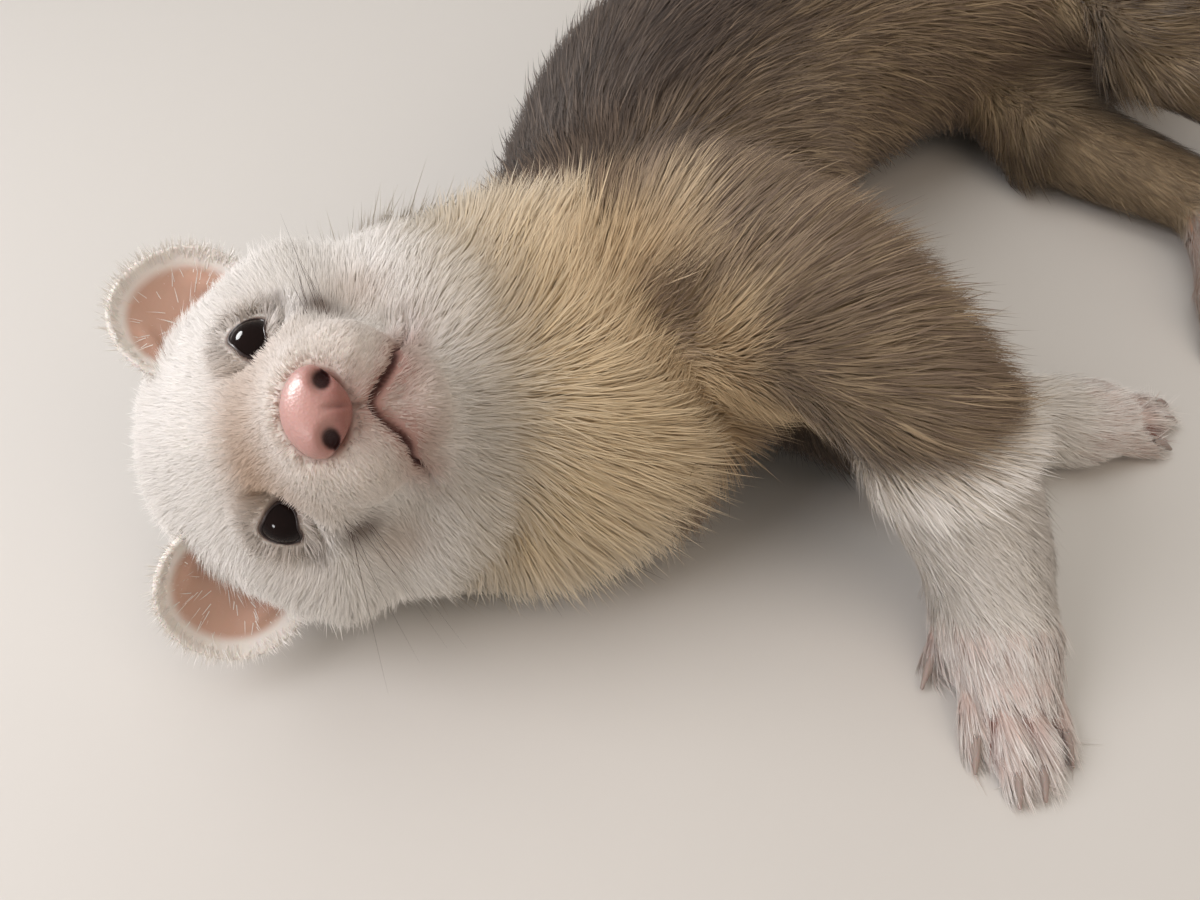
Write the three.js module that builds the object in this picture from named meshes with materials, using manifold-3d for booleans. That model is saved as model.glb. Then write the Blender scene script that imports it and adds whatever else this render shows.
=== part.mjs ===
// A ferret at rest, life size. It lies on its right side, its body curved, its left forepaw put down
// in front of its chest, and its head turned up to look at the viewer. Millimetres, +Z up.
import * as THREE from "three";
import { mergeVertices } from "three/addons/utils/BufferGeometryUtils.js";
import Module from "manifold-3d";

const wasm = await Module();
wasm.setup();

const at = (x, y, z) => new THREE.Vector3(x, y, z);

// Driving sizes and places, out to the tips of the coat
const gap = 0.3; // left between two pieces that touch
const skullCentre = at(-43, 123.4, 36.2);
const noseWay = at(0.179, -0.628, 0.757); // where the muzzle points
const crownWay = at(-0.969, -0.245, 0.026); // from the chin to the crown
const headHalfWidth = 33;
const eyeRadius = 4.6;
const eyeSpot = at(14.2, 11.5, 6.2); // left eye, in the head's own frame: nose, left, crown
const eyeWay = at(0.72, 0.62, 0.22);
const earSpot = at(-6, 21.6, 17.6);
const earHalf = { across: 11.8, out: 11.5, thick: 3.6 };
const earOut = at(-0.12, 0.72, 0.69); // from the root of the left ear to its edge
const earFacing = at(0.86, 0.42, -0.06); // where its hollow looks
const earWall = 1.9;
const nosePad = { spot: at(37.2, 0, -1.2), half: at(4.2, 5.9, 4.4) };
const clawLength = 5.2;
const soleFlat = 0.6; // how far the soles are pressed flat on the floor

// The trunk from the skull's base to the tail's root. lift is how far the belly side is turned up, in degrees.
const spine = [
  { at: at(-50, 130, 27), wide: 28.5, deep: 26, lift: 48 },
  { at: at(-27, 134.5, 29.5), wide: 33, deep: 29, lift: 48 },
  { at: at(-7, 141.5, 30.5), wide: 34, deep: 31, lift: 46 },
  { at: at(6, 156, 32), wide: 32.5, deep: 32, lift: 40 },
  { at: at(11.5, 179, 32.5), wide: 33, deep: 34, lift: 32 },
  { at: at(18, 209, 32), wide: 33, deep: 35, lift: 24 },
  { at: at(39, 242, 31), wide: 33, deep: 34, lift: 18 },
  { at: at(72, 270, 31), wide: 33, deep: 35, lift: 14 },
  { at: at(111, 287, 30), wide: 32, deep: 34, lift: 10 },
  { at: at(143, 291, 27), wide: 24, deep: 25, lift: 8 },
];
const neckEnd = 3; // station where the neck meets the chest
const chestEnd = 5;
const bellyEnd = 7;

const tailLine = [
  { at: at(157, 290, 20), wide: 13 },
  { at: at(180, 287, 15), wide: 12 },
  { at: at(202, 279, 13), wide: 12.5 },
  { at: at(223, 265, 12.5), wide: 13 },
  { at: at(240, 244, 12), wide: 12 },
  { at: at(250, 220, 9.5), wide: 9 },
  { at: at(254, 200, 6), wide: 4.5 },
];

// Each leg from the body outwards: upper part, lower part, and the line of the foot. outerSide says on
// which hand the outer toe is, looking along the foot from above: left -1, right 1.
const legs = {
  fore_left: {
    upper: [at(16, 148, 50), at(33, 135, 50), at(48, 121, 45)],
    upperHalf: [18, 17, 14],
    lower: [at(48, 121, 44), at(56, 117, 30), at(63, 112, 16)],
    lowerHalf: [13, 12.2, 10.6],
    foot: [at(63, 112, 12), at(64.5, 104, 8.5), at(65, 99, 6.5)],
    footHalf: [9.8, 10.2, 9],
    toeReach: 13,
    outerSide: -1,
  },
  fore_right: {
    upper: [at(24, 162, 20), at(38, 156, 16), at(52, 148, 13)],
    upperHalf: [17, 15, 12.5],
    lower: [at(52, 148, 12.5), at(67, 149, 11), at(82, 152, 9)],
    lowerHalf: [11.8, 11, 9],
    foot: [at(82, 152, 8.5), at(89, 153.5, 7), at(95, 154.5, 6.2)],
    footHalf: [9, 10, 9],
    toeReach: 13,
    outerSide: 1,
  },
  hind_left: {
    upper: [at(125, 276, 47), at(121, 257, 48.5), at(119, 238, 42)],
    upperHalf: [19, 17, 14],
    lower: [at(119, 238, 40.5), at(142, 229, 32), at(162, 223, 20)],
    lowerHalf: [13.2, 11, 8.2],
    foot: [at(163, 222, 15), at(167, 205, 8.5), at(168, 192, 6.5)],
    footHalf: [8, 8.6, 9],
    toeReach: 14,
    outerSide: -1,
  },
  hind_right: {
    upper: [at(126, 280, 16), at(113, 263, 14.5), at(102, 248, 13)],
    upperHalf: [17, 15.5, 13],
    lower: [at(102, 248, 12), at(121, 232, 11), at(139, 218, 10)],
    lowerHalf: [12.2, 10.5, 8.2],
    foot: [at(139, 217, 9), at(138, 200, 7.5), at(135, 187, 6.5)],
    footHalf: [8, 8.6, 9],
    toeReach: 14,
    outerSide: 1,
  },
};

// Toes from the thumb outwards. root and tip are shares of the foot's half width, back is how far behind
// the ball of the foot the toe starts, and reach is its share of the longest toe's.
const toes = [
  { root: -0.7, tip: -1, back: 12, reach: -0.6, half: 2.4 },
  { root: -0.5, tip: -0.84, back: 5, reach: 0.52, half: 3 },
  { root: -0.15, tip: -0.4, back: 2, reach: 1, half: 3.2 },
  { root: 0.25, tip: 0.06, back: 2, reach: 0.96, half: 3.2 },
  { root: 0.6, tip: 0.66, back: 6, reach: 0.6, half: 3 },
];

const finishes = {
  creamCoat: { color: 0xe6dccb, roughness: 0.9, metalness: 0 },
  silverCoat: { color: 0xb5a698, roughness: 0.9, metalness: 0 },
  whiteCoat: { color: 0xf1ece4, roughness: 0.9, metalness: 0 },
  darkCoat: { color: 0x7d6d62, roughness: 0.9, metalness: 0 },
  earSkin: { color: 0xe2b3a6, roughness: 0.7, metalness: 0 },
  noseSkin: { color: 0xd98a88, roughness: 0.45, metalness: 0 },
  eyeball: { color: 0x1d1514, roughness: 0.08, metalness: 0 },
  claw: { color: 0xd8c6b8, roughness: 0.4, metalness: 0 },
};

// How the shapes are made

// Reads values given at even steps smoothly, at any share of the way
function smooth(values) {
  const points = values.map((value, i) => (value.isVector3 ? value : at(i, value, 0)));
  const curve = new THREE.CatmullRomCurve3(points);
  return values[0].isVector3 ? (t) => curve.getPoint(t) : (t) => curve.getPoint(t).y;
}

function solidOf(geometry) {
  const bare = geometry.clone();
  bare.deleteAttribute("normal");
  bare.deleteAttribute("uv");
  const merged = mergeVertices(bare, 1e-4);
  const mesh = new wasm.Mesh({
    numProp: 3,
    vertProperties: merged.attributes.position.array,
    triVerts: Uint32Array.from(merged.index.array),
  });
  return new wasm.Manifold(mesh);
}

// A round-ended body drawn along stations. Each has a centre, a half width, and half depths on the side
// that it faces and under it. The rings of a ball become the rounded ends and the stretch between them.
function drawn(stations, { sides = 14, rings = 14, cap = 3, grow = 0, square = 1 } = {}) {
  const centre = smooth(stations.map((s) => s.at));
  const wide = smooth(stations.map((s) => s.wide));
  const deep = smooth(stations.map((s) => s.deep ?? s.wide));
  const under = smooth(stations.map((s) => s.under ?? s.deep ?? s.wide));
  const face = smooth(stations.map((s) => s.face ?? at(0, 0, 1)));
  const ball = new THREE.SphereGeometry(1, sides, rings);
  const spot = ball.attributes.position;
  const uv = ball.attributes.uv;
  for (let i = 0; i < spot.count; i++) {
    const ring = Math.round((1 - uv.getY(i)) * rings);
    const t = THREE.MathUtils.clamp((ring - cap) / (rings - 2 * cap), 0, 1);
    const turn = (Math.min(ring, rings - ring, cap) / cap) * (Math.PI / 2);
    const end = ring < cap ? -1 : ring > rings - cap ? 1 : 0;
    const way = centre(Math.min(t + 0.01, 1)).sub(centre(Math.max(t - 0.01, 0))).normalize();
    const across = face(t).cross(way).normalize();
    const up = way.clone().cross(across);
    const angle = Math.atan2(spot.getZ(i), spot.getX(i));
    const round = ring === 0 || ring === rings ? 0 : Math.sin(turn);
    const bend = (x) => Math.sign(x) * Math.abs(x) ** square;
    const depth = Math.sin(angle) > 0 ? deep(t) : under(t);
    const capLength = Math.min(wide(t), deep(t)) + grow;
    const place = centre(t)
      .addScaledVector(way, end * Math.cos(turn) * capLength)
      .addScaledVector(across, bend(Math.cos(angle)) * round * (wide(t) + grow))
      .addScaledVector(up, bend(Math.sin(angle)) * round * (depth + grow));
    spot.setXYZ(i, place.x, place.y, place.z);
  }
  return solidOf(ball);
}

function basis(forward, up) {
  const x = forward.clone().normalize();
  const y = up.clone().cross(x).normalize();
  return new THREE.Matrix4().makeBasis(x, y, x.clone().cross(y));
}

// An oval body of three half sizes, set in a frame
function oval(half, frame, { sides = 16, rings = 10, grow = 0 } = {}) {
  const ball = new THREE.SphereGeometry(1, sides, rings);
  ball.scale(half.x + grow, half.y + grow, half.z + grow).applyMatrix4(frame);
  return solidOf(ball);
}

const joined = (solids) => solids.reduce((whole, piece) => whole.add(piece));
const largest = (solid) => solid.decompose().reduce((a, b) => (a.volume() > b.volume() ? a : b));
const floorBlock = solidOf(new THREE.BoxGeometry(900, 900, 100).translate(100, 200, -50));
const onFloor = (solid) => largest(solid.subtract(floorBlock));

// The head is laid out in its own frame: x to the nose, y to the left, z to the crown

const headFrame = basis(noseWay, crownWay).setPosition(skullCentre);
const headSpot = (x, y, z) => at(x, y, z).applyMatrix4(headFrame);
const headAxis = (v) => v.clone().transformDirection(headFrame);
const crown = headAxis(at(0, 0, 1));
const mirrored = (v, side) => at(v.x, v.y * side, v.z);

function inHead(spot, forward = at(1, 0, 0), up = at(0, 0, 1)) {
  return headFrame.clone().multiply(basis(forward, up).setPosition(spot));
}

function skull(grow) {
  const profile = [
    [-27, 0.62, 16, 15],
    [-20, 0.84, 24, 18],
    [-10, 0.96, 27.4, 20],
    [0, 0.97, 26.8, 20.5],
    [8, 0.82, 23.5, 19.5],
    [14, 0.61, 19, 18],
    [20, 0.49, 14, 15.8],
    [26, 0.39, 9.6, 13],
    [32, 0.31, 6, 9.5],
  ];
  const stations = profile.map(([x, share, top, under]) => ({
    at: headSpot(x, 0, 0),
    wide: headHalfWidth * share,
    deep: top,
    under,
    face: crown,
  }));
  return drawn(stations, { sides: 28, rings: 21, cap: 4, grow, square: 1.22 });
}

function jaw(grow) {
  const profile = [
    [-4, 21, 9.5],
    [6, 18, 9],
    [15, 12.8, 7.6],
    [23, 9, 6.4],
    [29.5, 6.2, 5],
  ];
  const stations = profile.map(([x, wide, under]) => ({
    at: headSpot(x, 0, -13.2),
    wide,
    deep: 4.4,
    under,
    face: crown,
  }));
  return drawn(stations, { sides: 18, rings: 14, cap: 4, grow });
}

function whiskerPads(grow) {
  const half = at(11.5, 7.4, 8);
  return joined([1, -1].map((side) => oval(half, inHead(at(25.8, 5.4 * side, -4.8)), { grow })));
}

const eyeball = (side, grow) => {
  const frame = inHead(mirrored(eyeSpot, side), mirrored(eyeWay, side));
  return oval(at(eyeRadius, eyeRadius, eyeRadius), frame, { sides: 16, rings: 10, grow });
};

// The bowl that the eye lies in, and the lids round it
function orbit(side) {
  const spot = mirrored(eyeSpot.clone().addScaledVector(eyeWay, eyeRadius * 1.2), side);
  return oval(at(3.6, 5.7, 5.2), inHead(spot, mirrored(eyeWay, side)), { sides: 16, rings: 10 });
}

function lids(side) {
  const ring = new THREE.TorusGeometry(3.85, 1.05, 6, 18);
  ring.rotateY(Math.PI / 2).scale(1, 1.08, 0.92);
  const spot = mirrored(eyeSpot.clone().addScaledVector(eyeWay, eyeRadius * 0.56), side);
  return solidOf(ring.applyMatrix4(inHead(spot, mirrored(eyeWay, side))));
}

function nose(grow) {
  return oval(nosePad.half, inHead(nosePad.spot), { sides: 18, rings: 10, grow });
}

// What is cut from the nose: two nostrils, each with a slit to its side, and the groove between them
function noseCuts() {
  const cuts = [1, -1].flatMap((side) => [
    oval(at(2.3, 1, 1), inHead(at(39.6, 4 * side, -2.2)), { sides: 8, rings: 6 }),
    oval(at(1.9, 1.2, 0.5), inHead(at(38.6, 5.2 * side, -3)), { sides: 8, rings: 6 }),
  ]);
  cuts.push(oval(at(1.1, 0.4, 2.5), inHead(at(41.4, 0, -4)), { sides: 8, rings: 6 }));
  return joined(cuts);
}

// The line of the mouth, from one corner round the front to the other
function mouthLine() {
  const half = [
    [20.5, 12.4, -14.4],
    [25, 10.8, -14],
    [29.5, 8.6, -13.4],
    [33, 5, -11.6],
    [36, 0, -8.2],
  ];
  const other = half.slice(0, -1).reverse().map(([x, y, z]) => [x, -y, z]);
  const line = [...half, ...other].map(([x, y, z]) => ({ at: headSpot(x, y, z), wide: 0.85, face: crown }));
  return drawn(line, { sides: 6, rings: 20, cap: 2 });
}

// An ear: a cupped half round, set where the skull's side turns into its top
function ear(side) {
  const out = mirrored(earOut, side).normalize();
  const facing = mirrored(earFacing, side).normalize();
  const spot = mirrored(earSpot, side);
  const outside = oval(at(earHalf.thick, earHalf.across, earHalf.out), inHead(spot, facing, out));
  const inner = spot.clone().addScaledVector(facing, earHalf.thick * 0.75).addScaledVector(out, 0.4);
  const half = at(earHalf.thick, earHalf.across - earWall, earHalf.out - earWall);
  return outside.subtract(oval(half, inHead(inner, facing, out)));
}

// Trunk, tail and legs are laid out as they lie on the floor

const spineLine = smooth(spine.map((s) => s.at));
const spineWay = (t) => spineLine(Math.min(t + 0.01, 1)).sub(spineLine(Math.max(t - 0.01, 0))).normalize();

function trunk(grow) {
  const stations = spine.map((s, i) => {
    const headward = spineWay(i / (spine.length - 1)).negate();
    const level = at(0, 0, 1).cross(headward).normalize();
    const lift = THREE.MathUtils.degToRad(s.lift);
    return { ...s, face: level.multiplyScalar(Math.cos(lift)).add(at(0, 0, Math.sin(lift))) };
  });
  return drawn(stations, { sides: 24, rings: 38, cap: 4, grow });
}

const tail = (grow) => drawn(tailLine, { sides: 14, rings: 19, cap: 3, grow });

const limb = (points, halves, grow) =>
  drawn(points.map((p, i) => ({ at: p, wide: halves[i] })), { sides: 14, rings: 12, cap: 3, grow });

// A foot's own frame at its toes: forward, out to the small toe, and up
function footAxes(leg) {
  const forward = leg.foot[2].clone().sub(leg.foot[0]).setZ(0).normalize();
  const outward = forward.clone().cross(at(0, 0, 1)).multiplyScalar(leg.outerSide);
  return { forward, outward, length: leg.foot[2].distanceTo(leg.foot[0]) };
}

function toeLine(leg, toe) {
  const { forward, outward, length } = footAxes(leg);
  const base = leg.foot[0].clone().setZ(0);
  const width = leg.footHalf[2];
  const start = length - toe.back;
  const reach = length + leg.toeReach * toe.reach;
  const spot = (along, across, height) =>
    base.clone().addScaledVector(forward, along).addScaledVector(outward, across * width).setZ(height);
  return [
    spot(start, toe.root, 5.8),
    spot((start + reach) / 2, (toe.root + toe.tip) / 2, 5.6),
    spot(reach, toe.tip, toe.half - soleFlat),
  ];
}

function toeSolid(leg, toe, grow) {
  const halves = [toe.half * 1.1, toe.half, toe.half * 0.92];
  const stations = toeLine(leg, toe).map((p, i) => ({ at: p, wide: halves[i] }));
  return drawn(stations, { sides: 8, rings: 7, cap: 2, grow });
}

function foot(leg, grow) {
  const palm = leg.foot.map((p, i) => {
    return { at: p, wide: leg.footHalf[i], deep: Math.min(leg.footHalf[i], p.z + soleFlat) };
  });
  const sole = drawn(palm, { sides: 12, rings: 10, cap: 3, grow });
  return joined([sole, ...toes.map((toe) => toeSolid(leg, toe, grow))]);
}

// A claw: a small curved horn out of the tip of a toe
function claw(leg, toe) {
  const [, middle, tip] = toeLine(leg, toe);
  const way = tip.clone().sub(middle).setZ(0).normalize();
  const root = tip.clone().addScaledVector(way, toe.half * 0.5).setZ(3.6);
  const stations = [
    { at: root, wide: 0.9, deep: 1.25 },
    { at: root.clone().addScaledVector(way, clawLength * 0.5).setZ(3.1), wide: 0.75, deep: 1.05 },
    { at: root.clone().addScaledVector(way, clawLength * 0.95).setZ(1.1), wide: 0.4, deep: 0.45 },
  ];
  return drawn(stations, { sides: 6, rings: 6, cap: 2 });
}

// The animal, piece by piece

const animal = new THREE.Group();

function add(name, solid, finish) {
  const { vertProperties, triVerts } = largest(solid).getMesh();
  const geometry = new THREE.BufferGeometry();
  geometry.setAttribute("position", new THREE.BufferAttribute(vertProperties, 3));
  geometry.setIndex(new THREE.BufferAttribute(triVerts, 1));
  geometry.computeVertexNormals();
  const mesh = new THREE.Mesh(geometry, new THREE.MeshStandardMaterial(finishes[finish]));
  mesh.name = name;
  animal.add(mesh);
}

// The flesh of head and trunk is one body, parted at the skull's base and across the spine
const headFlesh = (grow) => joined([skull(grow), jaw(grow), whiskerPads(grow)]);
const flesh = onFloor(joined([headFlesh(0), trunk(0)]));
const skullBase = { spot: headSpot(10, 0, -22), way: headAxis(at(0.414, 0, 0.91)) };

// What lies behind a plane, seen the way that it faces, less half the gap
function behind(solid, { spot, way }) {
  return solid.trimByPlane([-way.x, -way.y, -way.z], -way.dot(spot) + gap / 2);
}

const turned = ({ spot, way }) => ({ spot, way: way.clone().negate() });
const acrossSpine = (station) => {
  const t = station / (spine.length - 1);
  return { spot: spineLine(t), way: spineWay(t) };
};

const sockets = [eyeball(1, gap), eyeball(-1, gap), nose(gap), mouthLine()];
const face = behind(flesh, turned(skullBase))
  .subtract(joined([orbit(1), orbit(-1)]))
  .add(lids(1))
  .add(lids(-1));
add("head", face.subtract(joined(sockets)), "whiteCoat");
add("nose", nose(0).subtract(noseCuts()), "noseSkin");
for (const [name, side] of [["left", 1], ["right", -1]]) {
  add(`eye_${name}`, eyeball(side, 0), "eyeball");
  const rooted = ear(side).subtract(headFlesh(gap)).subtract(trunk(gap));
  add(`ear_${name}`, onFloor(rooted), "earSkin");
}

const afterHead = behind(flesh, skullBase);
const [neckCut, chestCut, bellyCut] = [neckEnd, chestEnd, bellyEnd].map(acrossSpine);
add("neck", behind(afterHead, neckCut), "creamCoat");
add("chest", behind(behind(afterHead, chestCut), turned(neckCut)), "silverCoat");
add("belly", behind(behind(afterHead, bellyCut), turned(chestCut)), "silverCoat");
add("rump", behind(afterHead, turned(bellyCut)), "silverCoat");

const tailCut = { spot: tailLine[3].at, way: tailLine[4].at.clone().sub(tailLine[2].at).normalize() };
const wholeTail = onFloor(tail(0).subtract(trunk(gap)));
add("tail_root", behind(wholeTail, tailCut), "darkCoat");
add("tail_tip", behind(wholeTail, turned(tailCut)), "darkCoat");

const legParts = { fore: ["upper_arm", "forearm", "forepaw"], hind: ["thigh", "shank", "hindpaw"] };
for (const [name, leg] of Object.entries(legs)) {
  const [which, side] = name.split("_");
  const [upperName, lowerName, footName] = legParts[which];
  const upper = (grow) => limb(leg.upper, leg.upperHalf, grow);
  const lower = (grow) => limb(leg.lower, leg.lowerHalf, grow);
  const body = trunk(gap);
  add(`${upperName}_${side}`, onFloor(upper(0).subtract(body)), "silverCoat");
  add(`${lowerName}_${side}`, onFloor(lower(0).subtract(body).subtract(upper(gap))), "whiteCoat");
  add(`${footName}_${side}`, onFloor(foot(leg, 0).subtract(lower(gap))), "whiteCoat");
  toes.forEach((toe, i) => {
    add(`claw_${name}_${i + 1}`, onFloor(claw(leg, toe).subtract(foot(leg, gap))), "claw");
  });
}

// The origin is on the floor, under the middle of the animal
const box = new THREE.Box3().setFromObject(animal);
const middle = box.getCenter(at(0, 0, 0));
animal.position.set(-middle.x, -middle.y, 0);

export default animal;
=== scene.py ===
# A ferret at rest, dressed with skin, coat, eyes, nose, ears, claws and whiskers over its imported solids
import heapq
import math
import bmesh
import bpy
import numpy as np
from mathutils import Matrix, Vector
from mathutils.bvhtree import BVHTree
from mathutils.kdtree import KDTree


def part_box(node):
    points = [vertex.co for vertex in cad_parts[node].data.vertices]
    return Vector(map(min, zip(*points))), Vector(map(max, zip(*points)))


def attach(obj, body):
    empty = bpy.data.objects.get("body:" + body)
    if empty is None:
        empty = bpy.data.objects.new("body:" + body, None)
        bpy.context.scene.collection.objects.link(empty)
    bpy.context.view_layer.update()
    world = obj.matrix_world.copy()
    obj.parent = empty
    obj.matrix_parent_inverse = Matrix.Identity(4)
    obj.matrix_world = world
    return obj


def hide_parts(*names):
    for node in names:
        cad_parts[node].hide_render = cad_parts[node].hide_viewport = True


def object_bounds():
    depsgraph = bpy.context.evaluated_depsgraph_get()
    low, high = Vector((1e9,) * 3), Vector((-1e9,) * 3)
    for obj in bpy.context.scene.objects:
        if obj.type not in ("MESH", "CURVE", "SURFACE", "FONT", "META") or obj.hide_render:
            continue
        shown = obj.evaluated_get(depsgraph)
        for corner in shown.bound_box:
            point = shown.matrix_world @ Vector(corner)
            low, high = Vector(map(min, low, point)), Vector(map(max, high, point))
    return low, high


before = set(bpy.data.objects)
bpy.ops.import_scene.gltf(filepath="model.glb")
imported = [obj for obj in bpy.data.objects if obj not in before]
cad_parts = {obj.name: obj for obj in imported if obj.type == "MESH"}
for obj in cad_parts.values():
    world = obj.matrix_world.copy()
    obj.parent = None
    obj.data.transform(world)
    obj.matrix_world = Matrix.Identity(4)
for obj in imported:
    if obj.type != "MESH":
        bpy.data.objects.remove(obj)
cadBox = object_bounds()
mm = 0.001
dice = np.random.default_rng(41)

# Where the head and body are, read from the frame

def nodeCentre(name):
    low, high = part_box(name)
    return (np.array(low) + np.array(high)) / 2 / mm


def unit(v):
    return v / np.maximum(np.linalg.norm(v, axis=-1, keepdims=True), 1e-9)


# Spots in the head's own frame in mm: towards the nose, the animal's left, and the crown
head = {
    "eye": np.array([14.2, 11.5, 6.2]),
    "eyeRadius": 4.6,
    "eyeWay": unit(np.array([0.72, 0.62, 0.22])),
    "nose": np.array([37.2, 0, -1.2]),
    "noseHalf": np.array([4.2, 5.9, 4.4]),
    "ear": np.array([-6.0, 21.6, 17.6]),
    "earOut": unit(np.array([-0.12, 0.72, 0.69])),
    "earFacing": unit(np.array([0.86, 0.42, -0.06])),
    "inCad": np.array([-43, 123.4, 36.2]),  # the skull's centre as the solids were laid out
}
eyeLeft, eyeRight, noseAt = [nodeCentre(n) for n in ("eye_left", "eye_right", "nose")]
leftWay = unit(eyeLeft - eyeRight)
between = (eyeLeft + eyeRight) / 2
reach = noseAt - between
reach = unit(reach - leftWay * (reach @ leftWay))
drop = math.atan2(head["eye"][2] - head["nose"][2], head["nose"][0] - head["eye"][0])
rise = np.cross(reach, leftWay)
noseWay = math.cos(drop) * reach + math.sin(drop) * rise
crownWay = np.cross(noseWay, leftWay)
headAxes = np.array([noseWay, leftWay, crownWay])
skullCentre = between - head["eye"][0] * noseWay - head["eye"][2] * crownWay
laidOut = skullCentre - head["inCad"]  # from the solids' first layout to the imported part


def toHead(points):
    return (points - skullCentre) @ headAxes.T


def fromHead(points):
    return np.asarray(points, float) @ headAxes + skullCentre


def mirrored(v, side):
    return np.asarray(v, float) * [1, side, 1]


def linear(hexText):
    srgb = [int(hexText[i:i + 2], 16) / 255 for i in (1, 3, 5)]
    return np.array([c / 12.92 if c <= 0.04045 else ((c + 0.055) / 1.055) ** 2.4 for c in srgb])


def addNode(tree, kind, links=None, **settings):
    node = tree.nodes.new(kind)
    for key, value in settings.items():
        if hasattr(node, key):
            setattr(node, key, value)
        else:
            node.inputs[key.replace("_", " ")].default_value = value
    for socket, source in (links or {}).items():
        tree.links.new(source, node.inputs[socket])
    return node


def newMaterial(name, shader):
    material = bpy.data.materials.new(name)
    material.use_nodes = True
    tree = material.node_tree
    bsdf = tree.nodes["Principled BSDF"]
    for socket, value in shader.items():
        bsdf.inputs[socket].default_value = value
    return material, tree, bsdf


def coloured(hexText):
    return (*linear(hexText), 1)


def blended(base, other, share):
    return base * (1 - share) + other * share


def ramp(x, low, high):
    t = np.clip((x - low) / (high - low), 0, 1)
    return t * t * (3 - 2 * t)


def bump(x, centre, width):
    return np.exp(-((x - centre) / width) ** 2)


def shadeSmooth(mesh):
    mesh.polygons.foreach_set("use_smooth", np.full(len(mesh.polygons), True))


def meshFromArrays(name, points, faces):
    mesh = bpy.data.meshes.new(name)
    mesh.vertices.add(len(points))
    mesh.vertices.foreach_set("co", np.ascontiguousarray(points * mm, np.float32).ravel())
    mesh.loops.add(faces.size)
    mesh.loops.foreach_set("vertex_index", np.ascontiguousarray(faces, np.int32).ravel())
    mesh.polygons.add(len(faces))
    mesh.polygons.foreach_set("loop_start", np.arange(0, faces.size, faces.shape[1], dtype=np.int32))
    shadeSmooth(mesh)
    mesh.update(calc_edges=True)
    return mesh


def meshFrom(bm, name, smooth=True):
    mesh = bpy.data.meshes.new(name)
    bm.to_mesh(mesh)
    bm.free()
    if smooth:
        shadeSmooth(mesh)
    return mesh


def addObject(name, data):
    thing = bpy.data.objects.new(name, data)
    bpy.context.scene.collection.objects.link(thing)
    return thing


def addPiece(name, mesh, material, replaces=()):
    piece = addObject(name, mesh)
    mesh.materials.clear()
    mesh.materials.append(material)
    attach(piece, "root")
    if replaces:
        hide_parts(*replaces)
    return piece


def paint(mesh, colours):
    layer = mesh.attributes.new(name="coatColour", type="FLOAT_COLOR", domain="POINT")
    rgba = np.ones((len(colours), 4), np.float32)
    rgba[:, :3] = colours
    layer.data.foreach_set("color", rgba.ravel())


def readArray(items, field, width, kind=np.float32):
    flat = np.empty(len(items) * width, kind)
    items.foreach_get(field, flat)
    return flat.reshape(-1, width)


def pointsOf(mesh):
    return readArray(mesh.vertices, "co", 3).astype(float) / mm


def putPoints(mesh, points):
    mesh.vertices.foreach_set("co", np.ascontiguousarray(points * mm, np.float32).ravel())
    mesh.update()


def trianglesOf(mesh):
    mesh.calc_loop_triangles()
    return readArray(mesh.loop_triangles, "vertices", 3, np.int32)


def treeOf(points):
    tree = KDTree(len(points))
    for i, p in enumerate(points):
        tree.insert(p, i)
    tree.balance()
    return tree


def nearest(tree, points):
    return np.array([tree.find(p)[1] for p in points])


def denseLine(line, count=60):
    t = np.linspace(0, len(line) - 1, count)
    return np.stack([np.interp(t, range(len(line)), line[:, k]) for k in range(3)], axis=1)


def normalsOf(points, triangles):
    a, b, c = (points[triangles[:, i]] for i in range(3))
    facing = np.cross(b - a, c - a)
    total = np.zeros_like(points)
    for i in range(3):
        for axis in range(3):
            total[:, axis] += np.bincount(triangles[:, i], facing[:, axis], len(points))
    return unit(total)


def neighbourMean(values, edges, count):
    flat = values.reshape(len(values), -1)
    total = np.stack([
        np.bincount(edges[:, 0], flat[edges[:, 1], k], len(flat))
        + np.bincount(edges[:, 1], flat[edges[:, 0], k], len(flat))
        for k in range(flat.shape[1])
    ], axis=1)
    return (total / count[:, None]).reshape(values.shape)


def smoothed(values, edges, rounds, share=0.5):
    count = np.maximum(np.bincount(edges.ravel(), minlength=len(values)), 1)
    if not np.isscalar(share) and values.ndim > 1:
        share = share[:, None]
    for _ in range(rounds):
        values = values + (neighbourMean(values, edges, count) - values) * share
    return values


# The trunk's own frame, for the lie and colour of the coat

spine = {
    "at": [(-50, 130, 27), (-27, 134.5, 29.5), (-7, 141.5, 30.5), (6, 156, 32), (11.5, 179, 32.5),
           (18, 209, 32), (39, 242, 31), (72, 270, 31), (111, 287, 30), (143, 291, 27)],
    "half": [27, 31, 32, 32, 33, 34, 33, 34, 33, 24],
    "lift": [48, 48, 46, 40, 32, 24, 18, 14, 10, 8],  # degrees that the belly side is turned up
}


def spineFrame(points):
    stations = np.array(spine["at"], float) + laidOut
    steps = np.linspace(0, len(stations) - 1, 160)
    index = np.minimum(steps.astype(int), len(stations) - 2)
    line = blended(stations[index], stations[index + 1], (steps - index)[:, None])
    line[1:-1] = (line[:-2] + line[1:-1] * 2 + line[2:]) / 4
    tailward = unit(np.gradient(line, axis=0))
    level = unit(np.cross([0, 0, 1], -tailward))
    lift = np.radians(np.interp(steps, range(len(stations)), spine["lift"]))[:, None]
    belly = level * np.cos(lift) + np.array([0, 0, 1]) * np.sin(lift)
    belly = unit(belly - tailward * (belly * tailward).sum(1, keepdims=True))
    across = np.cross(tailward, belly)
    near = nearest(treeOf(line), points)
    away = points - line[near]
    half = np.interp(steps[near], range(len(stations)), spine["half"])
    return {
        "station": steps[near],
        "ventral": (away * belly[near]).sum(1) / half,
        "side": (away * across[near]).sum(1) / half,
        "tailward": tailward[near],
        "across": across[near],
    }


fleshNodes = [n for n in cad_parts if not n.startswith(("claw", "eye", "ear", "nose"))]

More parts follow.
